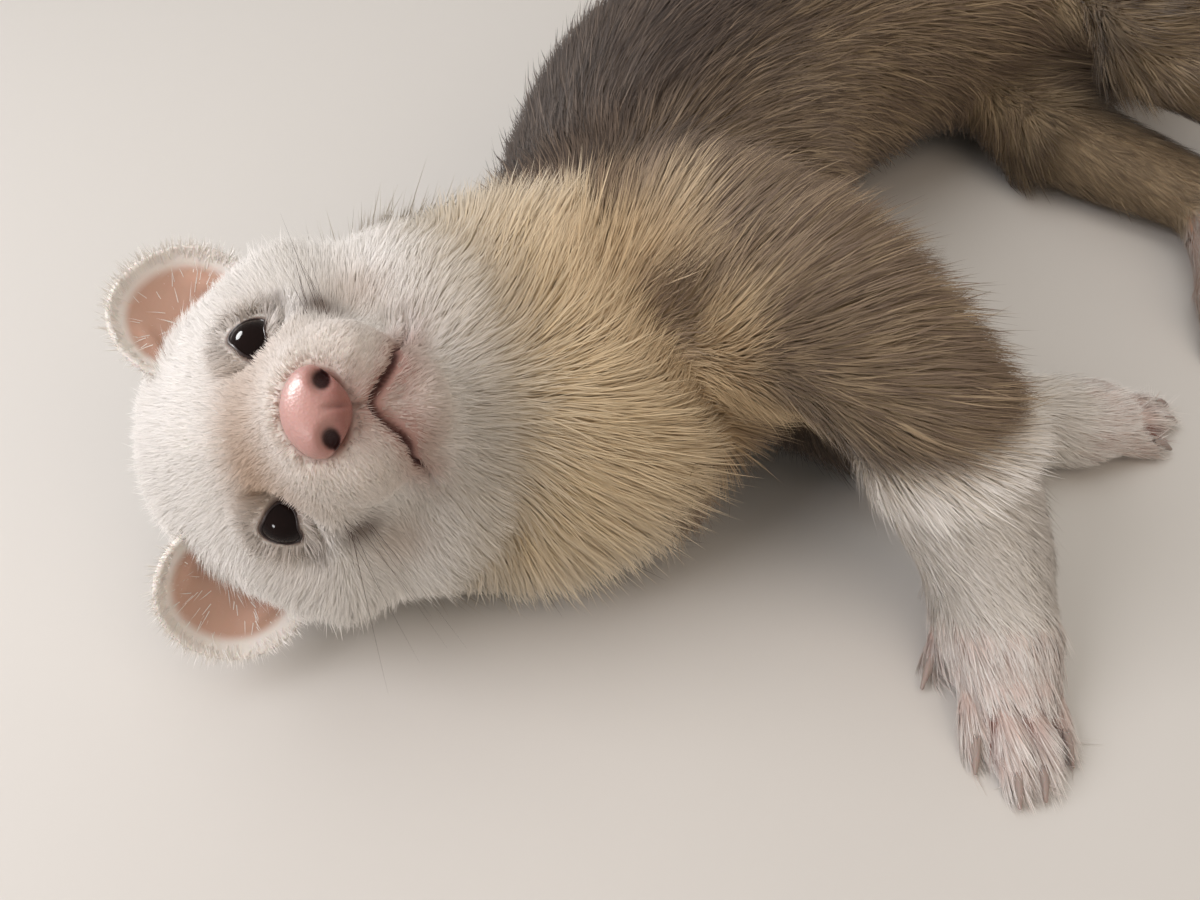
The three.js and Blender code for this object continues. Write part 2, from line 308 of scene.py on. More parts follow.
skinMaking = {
    "voxel": 1.55,  # mm
    "closeGap": 0.25,  # each solid is grown by this, so that the parting cuts close
    "smoothRounds": 34,
    "hold": {"head": 0.35, "paw": 0.06, "forearm": 0.4, "shank": 0.4, "tail": 0.6},  # share of the smoothing
    "finePatch": {"face": 24, "eye": 7.5, "mouth": 3.2, "pawHigh": 22},  # mm, where the skin is finer
}

# Coat by node, in mm: how deep it stands, how long its hairs are, and how many stand on a square mm
coatByNode = {
    "head": (3.0, 6.0, 10.5),
    "neck": (6.0, 14.0, 5.3),
    "chest": (6.5, 16.0, 4.1),
    "belly": (6.5, 16.0, 2.2),
    "rump": (6.5, 16.0, 2.2),
    "upper_arm": (4.6, 12.0, 4.9),
    "forearm": (1.3, 7.5, 7.0),
    "forepaw": (0.8, 8.5, 8.5),
    "thigh": (5.0, 13.0, 2.5),
    "shank": (1.5, 8.0, 2.9),
    "hindpaw": (0.6, 6.5, 4.4),
    "tail": (5.0, 15.0, 2.4),
}


def nodeKind(name):
    return next(kind for kind in coatByNode if name.startswith(kind))


def subdivideWhere(bm, chosen):
    bm.faces.ensure_lookup_table()
    edges = {e for i in np.flatnonzero(chosen) for e in bm.faces[i].edges}
    bmesh.ops.subdivide_edges(bm, edges=list(edges), cuts=1, use_grid_fill=True)


def faceSpots(bm):
    return np.array([f.calc_center_median() for f in bm.faces]) / mm


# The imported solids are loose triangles, so a copy is merged first
def mergedCopy(name):
    bm = bmesh.new()
    bm.from_mesh(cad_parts[name].data)
    bmesh.ops.remove_doubles(bm, verts=bm.verts, dist=0.002 * mm)
    return bm


def makeSkinForm():
    joined = bmesh.new()
    for name in fleshNodes:
        solid = mergedCopy(name)
        solid.normal_update()
        for vert in solid.verts:
            vert.co += vert.normal * skinMaking["closeGap"] * mm
        grown = meshFrom(solid, "grown")
        joined.from_mesh(grown)
        bpy.data.meshes.remove(grown)
    form = addObject("skinForm", meshFrom(joined, "skinForm"))
    remesh = form.modifiers.new("voxels", "REMESH")
    remesh.mode = "VOXEL"
    remesh.voxel_size = skinMaking["voxel"] * mm
    mesh = bpy.data.meshes.new_from_object(form.evaluated_get(bpy.context.evaluated_depsgraph_get()))
    bpy.data.objects.remove(form)
    bm = bmesh.new()
    bm.from_mesh(mesh)
    fine = skinMaking["finePatch"]
    spots = faceSpots(bm)
    local = toHead(spots)
    onFace = (local[:, 0] > 4) & (local[:, 2] > -fine["face"]) & (np.abs(local[:, 1]) < fine["face"])
    low = np.flatnonzero(spots[:, 2] < fine["pawHigh"])
    onPaw = np.zeros(len(spots), bool)
    onPaw[low] = ["paw" in n for n in nearestNodes(spots[low])]
    subdivideWhere(bm, onFace | onPaw)
    local = toHead(faceSpots(bm))
    near = distanceTo(local, mouthCurve()) < fine["mouth"]
    for side in (1, -1):
        near |= np.linalg.norm(local - mirrored(head["eye"], side), axis=1) < fine["eye"]
    subdivideWhere(bm, near)
    bmesh.ops.triangulate(bm, faces=[f for f in bm.faces if len(f.verts) > 4])
    bm.to_mesh(mesh)
    bm.free()
    return mesh


def nodeTree(names):
    corners, faces, owner = [], [], []
    for name in names:
        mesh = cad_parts[name].data
        start = len(corners)
        corners.extend(v.co / mm for v in mesh.vertices)
        faces.extend([start + i for i in p.vertices] for p in mesh.polygons)
        owner.extend([name] * len(mesh.polygons))
    return BVHTree.FromPolygons(corners, faces), owner


def nearestNodes(points):
    tree, owner = nodeTree(fleshNodes)
    return [owner[tree.find_nearest(Vector(p))[2]] for p in points]


# Half of the mouth's line, from its corner to the front, in the head's own frame
mouthLine = np.array([[16.5, 13.4, -14.6], [20.5, 12.4, -14.4], [25, 10.8, -14], [29.5, 8.6, -13.4],
                      [33, 5, -11.6], [36, 0, -8.2]])


def mouthCurve():
    return denseLine(np.vstack([mouthLine, (mouthLine * [1, -1, 1])[-2::-1]]), 90)


def distanceTo(points, line):
    best = np.full(len(points), 1e9)
    for p in line:
        best = np.minimum(best, ((points - p) ** 2).sum(1))
    return np.sqrt(best)


eyeShape = {
    "opening": 2.6,  # mm from the middle of the eye to the lids, on average
    "long": 1.18,  # stretch from the inner to the outer corner
    "forward": 0.5,  # mm that the opening reaches further towards the nose
    "corners": 0.15,  # how three-cornered the lids are
    "turn": math.radians(106),
}


# The ways at an eye: out of the head, towards the inner corner, and up
def eyeAxes(side):
    way = mirrored(head["eyeWay"], side)
    inner = unit(np.cross(way, [0, 0, 1])) * side
    return way, inner, np.cross(inner, way) * side


def eyeMeasures(points, side):
    away = points - mirrored(head["eye"], side)
    return [away @ axis for axis in eyeAxes(side)]


def lidRadius(angle):
    bent = eyeShape["opening"] * (1 + eyeShape["corners"] * np.cos(3 * (angle - eyeShape["turn"])))
    return bent * (1 + (eyeShape["long"] - 1) * np.cos(angle) ** 2) + eyeShape["forward"] * np.cos(angle)


# Distance from the middle of an eye as a share of the lids' distance
def lidShare(points, side):
    out, inner, up = eyeMeasures(points, side)
    flat = np.hypot(inner, up)
    return flat / lidRadius(np.arctan2(up, inner)), flat, out


# Height of the eye's ball where a point lies this far from its middle
def ballHeight(flat, least=0):
    return np.sqrt(np.maximum(head["eyeRadius"] ** 2 - flat ** 2, least))


# The mouth's line laid onto the skin, and how far each point of the skin is from it
def mouthOnSkin(points):
    local = toHead(points)
    line = mouthCurve()
    front = local[local[:, 0] > 12]
    line = np.array([front[np.argmin(((front - p) ** 2).sum(1))] for p in line])
    for _ in range(6):
        line[1:-1] = (line[:-2] + 2 * line[1:-1] + line[2:]) / 4
    return distanceTo(local, line)


faceMaking = {
    "lidOver": 0.1,  # mm that the skin stands over the ball at the lids' edge
    "lidFall": 0.2,  # how fast it falls away from there
    "socket": 1.3,  # mm that it lies under the ball inside the lids
    "lidReach": (1.6, 5.6),  # mm beyond the edge where it goes over into the face
    "mouth": (1.2, 0.5),  # depth and width of the mouth's groove in mm
    "lip": (0.35, 1.7, 0.8),  # height of the lips, their distance from the groove, and their width
    "cleft": (0.8, 0.45),  # depth and width of the groove from the nose to the mouth
}


def sculptFace(points, normals):
    local = toHead(points)
    face = local[:, 0] > 2
    p = local[face]
    n = (normals @ headAxes.T)[face]
    for side in (1, -1):
        share, flat, out = lidShare(p, side)
        edge = flat / share
        near = (np.abs(out - 3) < 9) & (flat < 9.5)
        beyond = np.maximum(flat - edge, 0)
        lid = ballHeight(edge) + faceMaking["lidOver"] - faceMaking["lidFall"] * beyond ** 1.4
        goal = np.where(share < 1.05, ballHeight(flat) - faceMaking["socket"], lid)
        blend = 1 - ramp(beyond, *faceMaking["lidReach"])
        p = p + np.where(near, (goal - out) * blend, 0)[:, None] * mirrored(head["eyeWay"], side)
    (deep, wide), (high, lipAt, lipWide) = faceMaking["mouth"], faceMaking["lip"]
    push = -deep * bump(mouthGap[face], 0, wide) + high * bump(mouthGap[face], lipAt, lipWide)
    p = p + n * (push * ramp(p[:, 0], 14, 20))[:, None]
    deep, wide = faceMaking["cleft"]
    groove = bump(p[:, 1], 0, wide) * ramp(p[:, 0], 34, 36.5) * ramp(-p[:, 2], 2.5, 4.5)
    local[face] = p - n * (deep * groove)[:, None]
    return fromHead(local)


def headDepth(local):
    back = np.interp(local[:, 0], [-20, -4, 6, 12, 20, 27, 33, 37], [6.0, 5.0, 3.2, 1.6, 1.0, 0.8, 0.4, 0.2])
    top = ramp(local[:, 2], 4, 18)  # shorter on the forehead and the bridge of the nose
    throat = ramp(-local[:, 2], 14, 24) * 1.6
    return back * (1 - 0.35 * top) + throat * (local[:, 0] < 26)


# The lie of the coat: away from the nose over the skin. It comes with the distance from the nose.
def coatLie(points, normals, edges):
    lengths = np.linalg.norm(points[edges[:, 0]] - points[edges[:, 1]], axis=1)
    around = [[] for _ in points]
    for (a, b), step in zip(edges.tolist(), lengths.tolist()):
        around[a].append((b, step))
        around[b].append((a, step))
    start = int(np.argmin(np.linalg.norm(toHead(points) - head["nose"], axis=1)))
    far = [1e9] * len(points)
    far[start] = 0.0
    queue = [(0.0, start)]
    while queue:
        here, a = heapq.heappop(queue)
        if here > far[a]:
            continue
        for b, step in around[a]:
            there = here + step
            if there < far[b]:
                far[b] = there
                heapq.heappush(queue, (there, b))
    far = smoothed(np.array(far), edges, 12)
    run = points[edges[:, 1]] - points[edges[:, 0]]
    slope = run * ((far[edges[:, 1]] - far[edges[:, 0]]) / np.maximum(lengths, 1e-6) ** 2)[:, None]
    lie = np.zeros_like(points)
    for axis in range(3):
        lie[:, axis] = np.bincount(edges[:, 0], slope[:, axis], len(points))
        lie[:, axis] += np.bincount(edges[:, 1], slope[:, axis], len(points))
    lie = unit(lie - normals * (lie * normals).sum(1, keepdims=True))
    for _ in range(14):
        lie = smoothed(lie, edges, 1, 0.6)
        lie = unit(lie - normals * (lie * normals).sum(1, keepdims=True))
    return lie, far


print("skin")
skinMesh = makeSkinForm()
skinEdges = readArray(skinMesh.edges, "vertices", 2, np.int32)
formPoints = pointsOf(skinMesh)
owners = np.array(nearestNodes(formPoints))
kinds = np.array([nodeKind(n) for n in owners])


# The voxels blur the toes, so the paws are drawn back onto their own solids
def drawToPaws(points):
    tree, _ = nodeTree([n for n in fleshNodes if "paw" in n])
    for i in np.flatnonzero(np.char.endswith(kinds.astype(str), "paw")):
        spot, _, _, away = tree.find_nearest(Vector(points[i]))
        if away < 1.4:
            points[i] = spot
    return points


formPoints = drawToPaws(formPoints)
hold = np.ones(len(formPoints))
for start, share in skinMaking["hold"].items():
    hold[[k.startswith(start) or k.endswith(start) for k in kinds]] = share
hold = smoothed(hold, skinEdges, 6)
formPoints = smoothed(formPoints, skinEdges, skinMaking["smoothRounds"], 0.5 * hold)
skinTriangles = trianglesOf(skinMesh)
formNormals = normalsOf(formPoints, skinTriangles)
coat = np.array([coatByNode[k] for k in kinds])
headWise = toHead(formPoints)
onHead = kinds == "head"
coat[onHead, 0] = headDepth(headWise[onHead])
coat[onHead, 1] = 1.3 + 1.4 * coat[onHead, 0]
coat = smoothed(coat, skinEdges, 10)
skinPoints = formPoints - formNormals * coat[:, :1]
skinPoints = smoothed(skinPoints, skinEdges, 4, 0.5 * hold)
skinPoints[:, 2] = np.maximum(skinPoints[:, 2], 0.25)
mouthGap = mouthOnSkin(skinPoints)
skinPoints = sculptFace(skinPoints, formNormals)
skinNormals = normalsOf(skinPoints, skinTriangles)
headWise = toHead(skinPoints)
spineWise = spineFrame(skinPoints)
print("skin points", len(skinPoints), "triangles", len(skinTriangles))

# The fold where the neck meets the shoulder, and its run over the neck, in the solids' layout in mm
shoulderFold = np.array([(0.7, 133.9, 61.2), (1.7, 127.9, 58.8), (4.3, 124.7, 55.9), (9.4, 121.9, 50.6),
                         (14.9, 121.8, 44.6), (22.1, 124.5, 32.7)]) + laidOut
overShoulder = np.array([(-29, 176, 26), (-26, 172, 38), (-19, 168, 50), (-11, 163, 58.6),
                         (-8.7, 157.6, 61.3), (-6.2, 152.7, 62.8), (-3.8, 145.5, 63.3),
                         (-1.5, 139.1, 62.7)]) + laidOut
foldMaking = {
    "depth": 2.4,  # mm
    "width": 3.2,
    "swell": (0.8, 7, 3),  # height, distance from the fold and width of the swelling along it
    "fan": 24,  # mm to which the fold's tan, partly its own colour and partly painted shade in the crease, and its lie reach
    "near": 9,  # mm to which the fold's own colour and lie reach
    "short": 0.55,  # share by which the neck's hair is shorter beside it
}


def nearestOnLine(points, line):
    index = nearest(treeOf(line), points)
    return line[index], np.linalg.norm(points - line[index], axis=1), unit(np.gradient(line, axis=0))[index]


foldNear, foldGap, foldAlong = nearestOnLine(skinPoints, denseLine(shoulderFold))
partNear, partGap, _ = nearestOnLine(skinPoints, denseLine(np.vstack([overShoulder, shoulderFold])))
nearFold = bump(foldGap, 0, foldMaking["near"])
pastParting = ((skinPoints - partNear) * spineWise["tailward"]).sum(1)
headward = ramp(-pastParting, -1, 3) * ramp(spineWise["station"], 0.8, 1.6)
coat[:, 1] *= 1 - foldMaking["short"] * headward * (1 - ramp(partGap, 3, 15))
swell, swellAt, swellWide = foldMaking["swell"]
dent = swell * bump(foldGap, swellAt, swellWide) - foldMaking["depth"] * bump(foldGap, 0, foldMaking["width"])
skinPoints += skinNormals * dent[:, None]
skinNormals = normalsOf(skinPoints, skinTriangles)


def onSkin(field):
    return unit(field - skinNormals * (field * skinNormals).sum(1, keepdims=True))


def ofKind(*names, rounds=10):
    return smoothed(np.isin(kinds, names).astype(float), skinEdges, rounds)


# How hard the coat is turned at each of these places, against 1 for its run away from the nose
turning = {"throat": 3.2, "shoulder": 1.3, "fold": 2.4, "eye": 2.4, "toes": 2.5}


def turned(field, way, share):
    return onSkin(field + way * share[:, None])


# The coat turns aside round the eyes, up off the throat, and fans out from the shoulder's fold
def wholeLie():
    field, far = coatLie(skinPoints, skinNormals, skinEdges)
    coat[:, 1] *= 1 - 0.55 * ramp(far, far.max() - 15, far.max())  # a short tuft at the end of the tail
    station, beside = spineWise["station"], spineWise["side"]
    throat = np.isin(kinds, ["neck", "chest", "head"]) * ramp(station, -0.5, 0.8)
    throat = throat * (1 - ramp(station, 2.4, 4.0)) * (headWise[:, 0] < 4)
    throat = smoothed(throat, skinEdges, 8)
    aside = spineWise["across"] * (np.sign(beside) * ramp(np.abs(beside), 0.15, 0.8))[:, None]
    field = turned(field, aside, turning["throat"] * throat)
    beyond = ramp(station, 2.0, 2.3) * bump(foldGap, 0, foldMaking["fan"])
    field = turned(field, unit(skinPoints - foldNear), turning["shoulder"] * beyond)
    field = turned(field, -foldAlong, turning["fold"] * headward * nearFold)
    for side in (1, -1):
        _, flat, out = lidShare(headWise, side)
        away = skinPoints - fromHead(mirrored(head["eye"], side))
        pull = turning["eye"] * bump(np.maximum(flat - 3, 0), 0, 3.2) * (np.abs(out - 2) < 7)
        field = turned(field, unit(onSkin(away)), pull)
    for leg, bone in (("fore", "forearm_"), ("hind", "shank_")):
        for word in ("left", "right"):
            claws = [nodeCentre(n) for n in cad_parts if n.startswith(f"claw_{leg}_{word}")]
            toes = unit((np.mean(claws, axis=0) - nodeCentre(bone + word)) * [1, 1, 0.6])
            onPaw = (owners == f"{leg}paw_{word}").astype(float)
            field = turned(field, toes, turning["toes"] * smoothed(onPaw, skinEdges, 6))
    for _ in range(5):
        field = onSkin(smoothed(field, skinEdges, 1, 0.5))
    return field


lie = wholeLie()

# Markings and painted shade: the colour of the underfur and of the hair tips at each point of the skin

shades = {
    "white": "#f4f0ea",
    "silver": "#d8d1c5",
    "cream": "#dec79e",
    "beige": "#cdb088",
    "tan": "#b08a5c",
    "taupe": "#7c6858",
    "dark": "#332924",
    "mask": "#c0a68f",
    "greyRing": "#9c9087",
    "browMark": "#705e54",
    "whiskerBed": "#6f5848",
    "lipPink": "#a97c71",
    "lipHair": "#b9998c",
    "pawPink": "#c48f83",
    # painted shade in the gaps between the toes
    "pawGapShade": "#8d5a4b",
    # painted shade along the mouth's line
    "mouthSlitShade": "#573732",
}
shade = {name: linear(value) for name, value in shades.items()}


def mixed(base, name, share):
    return blended(base, shade[name], np.clip(share, 0, 1)[:, None])


def layered(name, layers):
    colours = np.tile(shade[name], (len(skinPoints), 1))
    for over, share in layers:
        colours = mixed(colours, over, share)
    return colours


def spotNear(place, size):
    return bump(np.linalg.norm(headWise - place, axis=1), 0, size)


whiskerBed = np.array([19.5, 16.4, -3.5])
browMarks = [(-3.8, -4.2, 1.7, 0.6), (4.4, -0.6, 1.2, 0.25)]  # mm to the inner corner, mm up, size, strength


# How dark trunk, tail and hind legs are: flanks beyond the neck's parting, nape, and what lies low near the
# floor, which is partly dark hair and partly painted shade
def darkening(station, ventral, upper, tail):
    patch = smoothed(dice.normal(0, 1, len(skinPoints)), skinEdges, 30) * 9
    body = 1 - ofKind("head", rounds=14)
    beyond = ramp(pastParting, -1 - 25 * upper, 3 - 20 * upper) * ramp(station, 1.4, 2.0) * body
    toBack = np.where(pastParting < 0, -partGap, partGap) + 5 * patch
    flank = ramp(toBack, 3 - 26 * upper, 19 - 18 * upper) * beyond * (1 - 0.4 * ramp(ventral, 0.35, 0.85))
    nape = ramp(-ventral + 0.12 * patch, 0.45, 0.85) * ramp(station, 0.4, 1.4) * body
    # Darker low down near the floor: partly dark hair, partly painted shade
    lowDarkAndShade = 0.75 * (1 - ramp(skinPoints[:, 2], 9, 19)) * ramp(station, 0.6, 1.6) * body
    return np.maximum.reduce([flank, nape, lowDarkAndShade, 0.95 * tail, 0.8 * ofKind("thigh", "shank")])


# Marks of the face that tint underfur and tips alike: mask, crown, muzzle, and round the eyes; the muzzle's
# tint is painted shade, and the cheeks' is partly marking and partly painted shade
def faceMarksAndShade(onHead, face):
    x, y, z = headWise.T
    bridge = bump(z, 8.0, 5) * bump(x, 23, 9) * (0.6 + 0.4 * bump(y, -5, 8))
    # The mask's colour on the cheeks: partly marking, partly painted shade
    cheekMarkAndShade = bump(np.abs(y), 17, 4) * bump(z, -8, 5) * bump(x, 13, 6) * 0.4
    marks = [("mask", np.maximum(bridge, cheekMarkAndShade) * face), ("greyRing", ramp(-x, 8, 24) * onHead * 0.5),
             # Painted shade: the front of the muzzle is tinted with the mask's colour
             ("mask", ramp(x, 18, 28) * onHead * 0.3)]
    for side in (1, -1):
        _, flat, out = lidShare(headWise, side)
        _, inner, up = eyeMeasures(headWise, side)
        near = np.abs(out - 3) < 6
        marks.append(("greyRing", bump(flat, 3.4, 1.5) * near * 0.42))
        marks += [("browMark", bump(inner, forward, size) * bump(up, high, size) * near * strength)
                  for forward, high, size, strength in browMarks]
        marks.append(("whiskerBed", spotNear(mirrored(whiskerBed, side), 3.3)))
    return marks


def markingsAndShade():
    x, _, z = headWise.T
    station, ventral = spineWise["station"], spineWise["ventral"]
    onHead, paws, tail = ofKind("head", rounds=14), ofKind("forepaw", "hindpaw"), ofKind("tail")
    upper = 1 - ramp(ventral, 0.35, 0.9)
    legWhite = ramp(ofKind("forearm", "forepaw", rounds=70), 0.04, 0.36)
    dark = darkening(station, ventral, upper, tail) * (1 - legWhite)
    # Painted shade: the forearm's side that faces +X, away from the window lamp, is tinted taupe
    paintedShadeSide = ramp(skinNormals[:, 0], 0.15, 0.9) * ofKind("forearm", rounds=6)
    face = onHead * ramp(z + 0.35 * x, -20, -8)
    marks = faceMarksAndShade(onHead, face)
    tips = layered("silver", [
        # A beige tint near the shoulder's fold: partly the fold's colour, partly painted shade in the crease
        ("cream", ramp(ventral, 0.1, 0.85) * 0.85), ("beige", 0.8 * nearFold),
        ("taupe", ramp(dark, 0.1, 0.55)), ("dark", ramp(dark, 0.4, 0.95) * 0.95),
        ("white", legWhite), ("taupe", 0.35 * paintedShadeSide),
        ("white", paws * 0.9), ("pawPink", paws * 0.4 * ramp(hollow, 0.12, 0.4)), ("silver", onHead * 0.8),
        ("white", face)] + marks)
    under = layered("cream", [
        # A tan tint near the shoulder's fold: partly the fold's colour, partly painted shade in the crease
        ("silver", 0.65 * (1 - ramp(ventral, 0.05, 0.6))), ("tan", 0.85 * nearFold), ("beige", 0.7 * dark),
        ("taupe", np.maximum(0.6 * tail, (0.35 + 0.55 * upper) * dark)),
        ("dark", 0.35 * ramp(-ventral, -0.1, 0.5) * dark), ("white", legWhite * 0.75), ("taupe", 0.3 * paintedShadeSide),
        ("pawPink", ramp(ofKind("forepaw", "hindpaw", rounds=40), 0.55, 1) * 0.5),
        # Painted shade: the underfur between the toes is darkened
        ("pawGapShade", paws * ramp(hollow, 0.03, 0.22)), ("silver", onHead * 0.7), ("white", face * 0.9)] + marks)
    return tips, under


# How far each spot lies in a hollow, such as the gaps between the toes
hollow = ((smoothed(skinPoints, skinEdges, 10) - skinPoints) * skinNormals).sum(1)
tipColour, underColour = markingsAndShade()


# Where the skin shows: the rims of the lids, the lips, the chin, and round the nose; the mouth's line is
# darkened as painted shade
def bareSkin():
    x, y, z = headWise.T
    bare, colours = np.zeros(len(skinPoints)), underColour.copy()
    for side in (1, -1):
        share, _, out = lidShare(headWise, side)
        atEye = np.abs(out - 3) < 5
        colours = mixed(colours, "browMark", (1 - ramp(share, 1.15, 1.4)) * atEye)
        bare = np.maximum(bare, (1 - ramp(share, 1.12, 1.28)) * atEye)
    front = ramp(x, 14, 22)
    lips = bump(mouthGap, 0, 2.8) * front
    slit = (1 - ramp(mouthGap, 0.6, 1.4)) * front
    chin = bump(mouthGap, 0, 5.5) * ramp(-z, 9, 12) * ramp(x, 22, 28) * (1 - ramp(np.abs(y), 5, 12))
    underNose = bump(y, 0, 5.5) * bump(z, -7, 3.2) * ramp(x, 28, 33)
    fromNose = np.linalg.norm((headWise - head["nose"]) / head["noseHalf"], axis=1)
    noseRim = 1 - ramp(fromNose, 1.0, 1.14)
    pink = np.maximum.reduce([lips, chin * 0.9, underNose * 0.75, noseRim * 0.9])
    # Painted shade: the mouth's line is darkened
    colours = mixed(mixed(colours, "lipPink", pink), "mouthSlitShade", (1 - ramp(mouthGap, 0.3, 0.85)) * front)
    cleft = spotNear(mouthLine[-1], 2.4)
    return colours, np.maximum.reduce([bare, slit, chin * 0.45, underNose * 0.35, noseRim, cleft]), pink


skinColour, bareShare, pinkZone = bareSkin()
for colours in (tipColour, underColour):
    colours[:] = mixed(colours, "lipHair", pinkZone * 0.85)


# A surface that takes its colour from its own points, with a relief of how strong and how high in m it stands
def paintedMaterial(name, shader, pattern=None, relief=(), **settings):
    material, tree, bsdf = newMaterial(name, shader)
    colour = addNode(tree, "ShaderNodeAttribute", attribute_name="coatColour")
    tree.links.new(colour.outputs["Color"], bsdf.inputs["Base Color"])
    if pattern:
        spot = addNode(tree, "ShaderNodeTexCoord")
        grain = addNode(tree, "ShaderNodeTex" + pattern, {"Vector": spot.outputs["Object"]}, **settings)
        lift = addNode(tree, "ShaderNodeBump", {"Height": grain.outputs[0]},
                       Strength=relief[0], Distance=relief[1])
        tree.links.new(lift.outputs["Normal"], bsdf.inputs["Normal"])
    return material


# Thin skin under a dense coat: matt, with the markings and painted shade of its hair and a grain of hair
# roots 0.4 mm apart
hairedSkin = paintedMaterial(
    "haired_skin", {"Roughness": 0.75, "Subsurface Weight": 0.08, "Subsurface Scale": 0.002},
    "Noise", (0.35, 0.0003), Scale=2600, Detail=3)

putPoints(skinMesh, skinPoints)
shadeSmooth(skinMesh)
paint(skinMesh, skinColour)
skin = addPiece("skin", skinMesh, hairedSkin, fleshNodes)


# The skin is laid flat once, and each tuft gets a small patch of it at its root
def unwrapSkin():
    bpy.context.view_layer.objects.active = skin
    for other in bpy.context.selected_objects:
        other.select_set(False)
    skin.select_set(True)
    skinMesh.uv_layers.new(name="OFBake")
    bpy.ops.object.mode_set(mode="EDIT")
    bpy.ops.mesh.select_all(action="SELECT")
    bpy.ops.uv.smart_project(angle_limit=math.radians(66), island_margin=0.002)
    bpy.ops.object.mode_set(mode="OBJECT")
    mesh = skin.data
    mesh.calc_loop_triangles()
    corners = readArray(mesh.loop_triangles, "loops", 3, np.int32)
    return readArray(mesh.uv_layers["OFBake"].data, "uv", 2)[corners]


triangleUv = unwrapSkin()
print("unwrapped")
skinTree = treeOf(skinPoints)

# Ears: thin cups, bare and pink inside, darker towards the base partly as painted shade, white at the rim and
# behind
earMaking = {
    "across": 11.6,  # mm, half sizes of the cup
    "out": 11.3,
    "cup": 3.4,
    "lip": 1.6,
    "wall": 0.9,
    "steps": 40,
    "inner": "#cda692",
    # deep: the darker colour towards the base, partly the skin's own and partly painted shade
    "deep": "#9a6f61",
    "rim": "#f4eee6",
    "hairs": 5200,
}


def earAxes(side):
    out = mirrored(head["earOut"], side)
    facing = mirrored(head["earFacing"], side)
    facing = unit(facing - out * (facing @ out))
    return np.array([np.cross(out, facing), out, facing]), mirrored(head["ear"], side)


# Spots of the ear's inner face from places on a disc
def earSurface(disc, side):
    u, v = disc.T
    r = np.hypot(u, v)
    hollow = -earMaking["cup"] * (1 - r ** 2) + earMaking["lip"] * r ** 5
    fold = 1.4 * np.exp(-((np.abs(u) - 0.62 + 0.25 * v) / 0.13) ** 2) * (1 - ramp(v, 0.1, 0.7)) * (r < 1)
    wave = 0.35 * np.sin(3.1 * np.arctan2(v, u)) * r ** 3
    spot = np.stack([u * earMaking["across"], v * earMaking["out"], hollow + fold + wave], axis=1)
    axes, centre = earAxes(side)
    return fromHead(spot @ axes + centre)


def squareToDisc(square):
    a, b = square.T
    return np.stack([a * np.sqrt(1 - b ** 2 / 2), b * np.sqrt(1 - a ** 2 / 2)], axis=1)


# Thin warm skin that lets some light through, with folds and veins about 1.4 mm across
earSkin = paintedMaterial(
    "ear_skin", {"Roughness": 0.6, "Subsurface Weight": 0.12, "Subsurface Scale": 0.001},
    "Noise", (0.25, 0.0003), Scale=700, Detail=4)


def makeEar(side, name):
    bm = bmesh.new()
    bmesh.ops.create_grid(bm, x_segments=earMaking["steps"], y_segments=earMaking["steps"], size=1)
    disc = squareToDisc(np.array([v.co[:2] for v in bm.verts]))
    for vert, place in zip(bm.verts, earSurface(disc, side)):
        vert.co = Vector(place * mm)
    bmesh.ops.recalc_face_normals(bm, faces=bm.faces)
    axes, centre = earAxes(side)
    facing = Vector(axes[2] @ headAxes)
    if sum((f.normal.dot(facing) for f in bm.faces)) < 0:
        bmesh.ops.reverse_faces(bm, faces=bm.faces)
    bmesh.ops.solidify(bm, geom=bm.faces, thickness=earMaking["wall"] * mm)
    mesh = meshFrom(bm, name)
    local = (toHead(pointsOf(mesh)) - centre) @ axes.T
    u, v = local[:, 0] / earMaking["across"], local[:, 1] / earMaking["out"]
    inner, deep, rim = (linear(earMaking[k]) for k in ("inner", "deep", "rim"))
    # Darker towards the base inside: partly the skin's own colour, partly painted shade
    colours = blended(inner, deep, (1 - ramp(v, -0.45, 0.35))[:, None] * 0.6)
    paint(mesh, blended(colours, rim, ramp(np.hypot(u, v), 0.74, 0.88)[:, None]))
    return addPiece(name + "_cup", mesh, earSkin, [name])


bothSides = ((1, "left"), (-1, "right"))
ears = {side: makeEar(side, f"ear_{word}") for side, word in bothSides}

coatMaking = {
    "patch": 0.003,  # size of each tuft's patch on the unwrap
    "spread": 0.13,  # how much neighbouring hairs cross
    "streak": 0.42,  # how far whole tufts keep the colour of their roots
    "overhang": 6.0,  # mm that hairs may run on past the end of a toe or a leg
    "overSolids": 0.3,  # mm over the solids' top from where the coat lies flatter
    "flatter": 0.65,
    "lowest": 0.15,  # mm that hairs keep off the floor
    "perPiece": 190000,  # triangles
}

hairKinds = {
    "down": {"share": 0.21, "length": 0.62, "height": 0.5, "width": 3.4, "tip": 0.45, "every": 5},
    "top": {"share": 1.0, "length": 1.0, "height": 1.0, "width": 1.0, "tip": 1.0, "every": 8},
    "guard": {"share": 0.08, "length": 1.28, "height": 1.35, "width": 1.1, "tip": 1.0, "every": 3},
}
fewRings, moreRings = [0, 0.5, 1], [0, 0.35, 0.7, 1]  # where they stand along a hair

